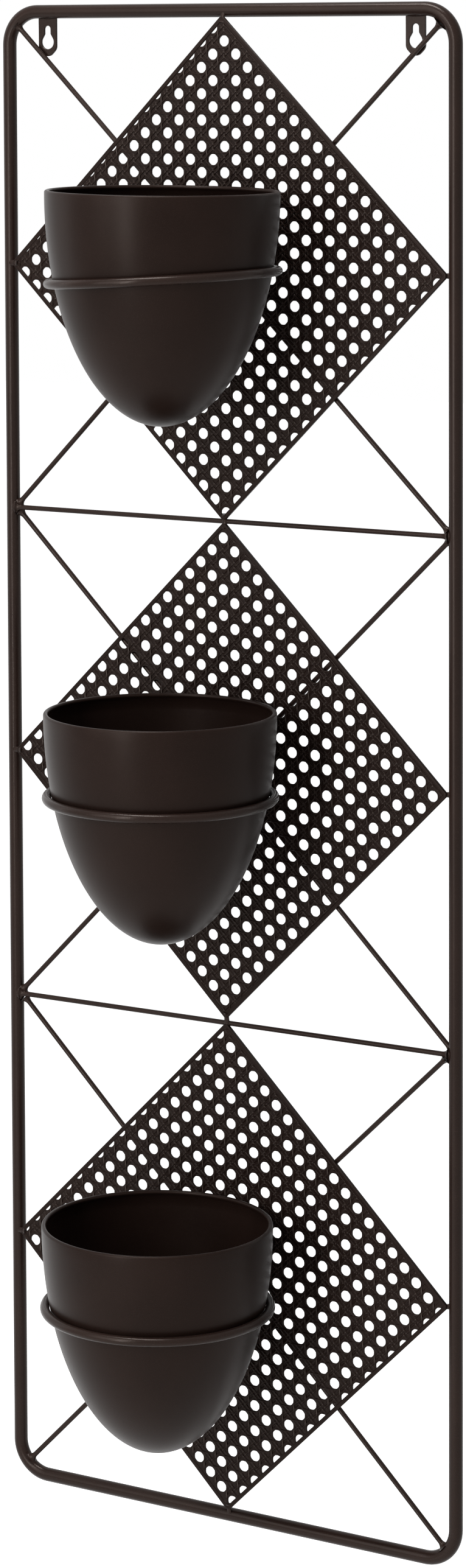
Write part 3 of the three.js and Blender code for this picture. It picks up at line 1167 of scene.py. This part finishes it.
@dataclass
class PotPlace:
    """A wire ring and the egg-shaped pot that hangs in it.

    Attributes:
        shift: How far to the right of the middle the ring is welded.
        drop: How far below the middle.
        tilt: How far the ring is tilted, in degrees.
        lean: How far the pot leans in it, in degrees.
        bore_less: How much narrower the ring's bore is than the pot.
        pot: Width of the pot at its rim.
        weld_gap: Gap between ring and sheet, which the weld bridges.
        seat_gap: Gap between ring and pot.
    """

    layout: Layout
    bay: Bay
    shift: float
    drop: float
    tilt: float = 0.0
    lean: float = 0.0
    wire: float = 6.4 * MM
    bore_less: float = 10.2 * MM
    pot: float = 157 * MM
    height: float = 157.5 * MM
    wall: float = 1.2 * MM
    lip: float = 3.2 * MM
    weld_gap: float = 0.3 * MM
    seat_gap: float = 0.3 * MM
    weld: Triple = (9 * MM, 1.6 * MM, 3.6 * MM)
    weld_sunk: float = 0.2 * MM
    ring_steps: int = 96
    wire_sides: int = 20
    pot_steps: int = 128
    bowl_steps: Pair = (40, 32)
    lip_steps: int = 12
    lip_roll: float = 1.25 * math.pi
    lip_depth: float = 1.2

    @property
    def ring_radius(self) -> float:
        """Radius of the ring's centre line."""
        return (self.pot - self.bore_less + self.wire) / 2

    @property
    def centre(self) -> Vector:
        """Middle of the ring."""
        y = self.layout.sheet_front - self.weld_gap - self.wire / 2 - self.ring_radius
        return Vector((self.shift, y, self.layout.line_z(self.bay.value + 0.5) - self.drop))

    def rim_above_ring(self) -> float:
        """How far the pot's rim stands above the ring when the pot rests in it.

        Returns:
            The height.
        """
        radius, reach = self.pot / 2, (self.wire / 2) + self.seat_gap
        shallow, deep = 0.0, math.pi / 2
        depth = 0.0
        while deep - shallow > 1e-9:
            angle = (shallow + deep) / 2
            normal = Vector((math.cos(angle) / radius, -math.sin(angle) / self.height)).normalized()
            wire = Vector((radius * math.cos(angle), -self.height * math.sin(angle))) + normal * reach
            depth = -wire.y
            if wire.x > self.ring_radius:
                shallow = angle
            else:
                deep = angle
        return depth

    def profile(self) -> np.ndarray:
        """The pot's section, from the bottom up the outside, over the lip and down the inside.

        Returns:
            Rows of radius and height.
        """
        radius, lip = self.pot / 2, self.lip / 2

        def bowl(r: float, h: float, depth: float, steps: int) -> list[Pair]:
            """Points down a quarter of an ellipse, from a depth under the rim to the axis."""
            first = math.asin(depth / h)
            angles = [first + (math.pi / 2 - first) * i / steps for i in range(steps + 1)]
            return [(r * math.cos(a), -h * math.sin(a)) for a in angles]

        outside = bowl(radius, self.height, lip, self.bowl_steps[0])[::-1]
        depth = self.lip * self.lip_depth
        inside = bowl(radius - self.wall, self.height - self.wall, depth, self.bowl_steps[1])
        rolled = []
        for i in range(1, self.lip_steps + 1):
            angle = self.lip_roll * i / self.lip_steps
            rolled.append((radius - lip + lip * math.cos(angle), -lip + lip * math.sin(angle)))
        points = np.array([*outside, *rolled, *inside])
        points[0, 0] = points[-1, 0] = 0.0
        return points

    def ring(self) -> Draft:
        """The ring's wire and the weld at its back.

        Returns:
            The mesh.
        """
        angle = round_angles(self.ring_steps)
        outwards = np.stack([np.cos(angle), np.sin(angle), np.zeros(len(angle))], 1)
        outwards = outwards @ self._rotation(-self.tilt)
        path = outwards * self.ring_radius + np.asarray(self.centre)
        along = np.roll(path, -1, 0) - np.roll(path, 1, 0)
        along /= np.linalg.norm(along, axis=1)[:, None]
        up = np.cross(outwards, along)
        draft = Draft()
        draft.tube(path, outwards * self.wire / 2, up * self.wire / 2, self.wire_sides, closed=True)
        back = Vector((0, self.ring_radius + self.wire / 2 - self.weld_sunk, 0))
        draft.blob(self.centre + back, self.weld)
        return draft

    def build(self, palette: Palette) -> None:
        """Makes the ring with its weld, and the pot.

        Args:
            palette: Finishes to dress the pieces with.
        """
        word = self.bay.word
        palette.place(self.ring().make(f"ring_{word}_wire", 60.0), Slot.FRAME, f"pot_ring_{word}")
        rim = self.rim_above_ring()
        slip = -math.sin(math.radians(self.tilt)) * rim * (self.pot / 2 / self.height) ** 2
        pot = Draft()
        pot.turn(self.profile(), Vector((slip, 0.0, rim)), self.pot_steps)
        leant = np.array(pot.points) @ self._rotation(self.lean) + np.asarray(self.centre)
        pot.points = [tuple(point) for point in leant]
        palette.place(pot.make(f"egg_pot_{word}", 60.0), Slot.POT, f"pot_{word}", body=f"{word}_pot")

    @staticmethod
    def _rotation(degrees: float) -> np.ndarray:
        """Matrix that turns rows of points about the Y axis."""
        return np.asarray(Matrix.Rotation(math.radians(degrees), 3, "Y")).T


# ---- studio


def viewed_from(azimuth: float, elevation: float) -> Vector:
    """Direction from the planter to a viewer, whose angles are in degrees."""
    a, e = math.radians(azimuth), math.radians(elevation)
    return Vector((math.sin(a) * math.cos(e), -math.cos(a) * math.cos(e), math.sin(e)))


@dataclass(frozen=True)
class Softbox:
    """A soft box that faces the planter.

    Attributes:
        name: Name of the lamp.
        azimuth: Angle round the planter, 0 in front of it.
        elevation: Angle above the horizon.
        distance: Distance from its target.
        size: Width and height of the box.
        power: Power in watts.
    """

    name: str
    azimuth: float
    elevation: float
    distance: float
    size: Pair
    power: float

    def build(self, target: Vector) -> None:
        """Adds the lamp.

        Args:
            target: Point that it faces.
        """
        back = viewed_from(self.azimuth, self.elevation)
        data = bpy.data.lights.new(self.name, "AREA")
        data.shape = "RECTANGLE"
        data.size, data.size_y = self.size
        data.energy = self.power
        lamp = bpy.data.objects.new(self.name, data)
        lamp.location = target + back * self.distance
        lamp.rotation_mode = "QUATERNION"
        lamp.rotation_quaternion = (-back).to_track_quat("-Z", "Y")
        bpy.context.scene.collection.objects.link(lamp)


SOFTBOXES = (
    Softbox("key_softbox", -22.0, 20.0, 2.6, (1.3, 2.4), 22.0),
    Softbox("strip_softbox", -4.0, 13.0, 2.8, (0.22, 2.6), 42.0),
    Softbox("top_softbox", -20.0, 76.0, 2.2, (1.2, 0.4), 42.0),
    Softbox("side_softbox", -78.0, 12.0, 2.6, (0.7, 2.2), 4.0),
)


@dataclass
class Studio:
    """Camera, soft light and a plain pale floor; angles are in degrees.

    Attributes:
        focal: Focal length, in pixels of the photograph.
        middle: Pixel that the camera points at.
        sensor: Height of its sensor, in mm.
        target: Point that the lamps face.
        glow_span: Distances between which the floor's glow grows, to be as white as the world.
        glow: The glow at those distances.
        fill_light: Strength of the world as a light.
    """

    azimuth: float = 31.844
    elevation: float = 4.264
    roll: float = -0.323
    position: Triple = (1.41526, -2.37988, -0.00088)
    focal: float = 6667.34
    middle: Pair = (250.0, 544.59)
    sensor: float = 36.0
    target: Triple = (0.0, -0.05, -0.5)
    floor_z: float = -1.5
    floor_reach: float = 12.0
    floor_white: float = 0.9
    glow_span: Pair = (1.6, 4.0)
    glow: Pair = (0.62, 0.82)
    fill_light: float = 0.27

    def build(self) -> None:
        """Makes camera, floor, world and lamps."""
        self._camera()
        self._floor()
        self._world()
        for box in SOFTBOXES:
            box.build(Vector(self.target))

    def _camera(self) -> None:
        """Makes the camera that stands where the photograph was taken."""
        a, r = math.radians(self.azimuth), math.radians(self.roll)
        back = viewed_from(self.azimuth, self.elevation)
        right = Vector((math.cos(a), math.sin(a), 0.0))
        up = back.cross(right)
        across = right * math.cos(r) + up * math.sin(r)
        upright = -right * math.sin(r) + up * math.cos(r)
        data = bpy.data.cameras.new("photo_camera")
        data.sensor_fit = "VERTICAL"
        data.sensor_width = data.sensor_height = self.sensor
        data.lens = self.focal / PHOTO_HEIGHT * self.sensor
        data.shift_x = (PHOTO_WIDTH / 2 - self.middle[0]) / PHOTO_HEIGHT
        data.shift_y = (self.middle[1] - PHOTO_HEIGHT / 2) / PHOTO_HEIGHT
        data.clip_end = 50.0
        camera = bpy.data.objects.new("photo_camera", data)
        turn = Matrix((across, upright, back)).transposed().to_4x4()
        camera.matrix_world = Matrix.Translation(self.position) @ turn
        bpy.context.scene.collection.objects.link(camera)
        bpy.context.scene.camera = camera

    def _floor(self) -> None:
        """Makes the pale floor below the planter."""
        r, z = self.floor_reach, self.floor_z
        mesh = bpy.data.meshes.new("floor")
        mesh.from_pydata([(-r, -r, z), (r, -r, z), (r, r, z), (-r, r, z)], [], [(0, 1, 2, 3)])
        floor = bpy.data.objects.new("floor", mesh)
        bpy.context.scene.collection.objects.link(floor)
        paint = bpy.data.materials.new("pale_floor")
        paint.use_nodes = True
        tree = paint.node_tree
        spot = tree.nodes.new("ShaderNodeTexCoord").outputs["Object"]
        distance = add_node(tree, "ShaderNodeVectorMath", {0: spot}, "LENGTH").outputs["Value"]
        level = ramp(tree, distance, self.glow_span, self.glow)
        shine = add_node(tree, "ShaderNodeMath", {0: self._seen(tree), 1: level}, "MULTIPLY")
        inputs = {
            "Base Color": (*[self.floor_white] * 3, 1.0),
            "Roughness": 0.9,
            "Emission Color": WHITE,
            "Emission Strength": shine.outputs[0],
        }
        fill(tree, tree.nodes["Principled BSDF"], inputs)
        mesh.materials.append(paint)

    @staticmethod
    def _seen(tree: bpy.types.NodeTree) -> bpy.types.NodeSocket:
        """Adds a switch that is 1 for rays that show the background and 0 for light.

        Args:
            tree: Node tree to add to.

        Returns:
            The switch.
        """
        path = tree.nodes.new("ShaderNodeLightPath")
        seen = path.outputs["Is Camera Ray"]
        for name in ("Is Glossy Ray", "Is Transmission Ray"):
            seen = add_node(tree, "ShaderNodeMath", {0: seen, 1: path.outputs[name]}, "MAXIMUM").outputs[0]
        return seen

    def _world(self) -> None:
        """Makes the world: white behind the planter, dimmer as a light."""
        world = bpy.data.worlds.new("studio")
        bpy.context.scene.world = world
        world.use_nodes = True
        tree = world.node_tree
        strength = ramp(tree, self._seen(tree), wanted=(self.fill_light, 1.0))
        fill(tree, tree.nodes["Background"], {"Color": WHITE, "Strength": strength})
        bpy.context.scene.view_settings.view_transform = "Standard"


# ---- the planter


def main() -> None:
    """Builds the planter piece by piece around its solids."""
    logging.basicConfig(level=logging.INFO, format="%(name)s: %(message)s")
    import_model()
    Studio().build()
    palette = Palette()
    layout = Layout()
    OuterFrame(layout).build(palette)
    Bracing(layout).build(palette)
    Welds(layout).build(palette)
    for bay in Bay:
        CanePanel(layout, bay).build(palette)
    PotPlace(layout, Bay.UPPER, shift=1.6 * MM, drop=2.4 * MM, tilt=3.5, lean=0.8).build(palette)
    PotPlace(layout, Bay.MIDDLE, shift=-2.5 * MM, drop=2.9 * MM).build(palette)
    PotPlace(layout, Bay.LOWER, shift=-7.0 * MM, drop=3.6 * MM).build(palette)


if __name__ == "__main__":
    main()
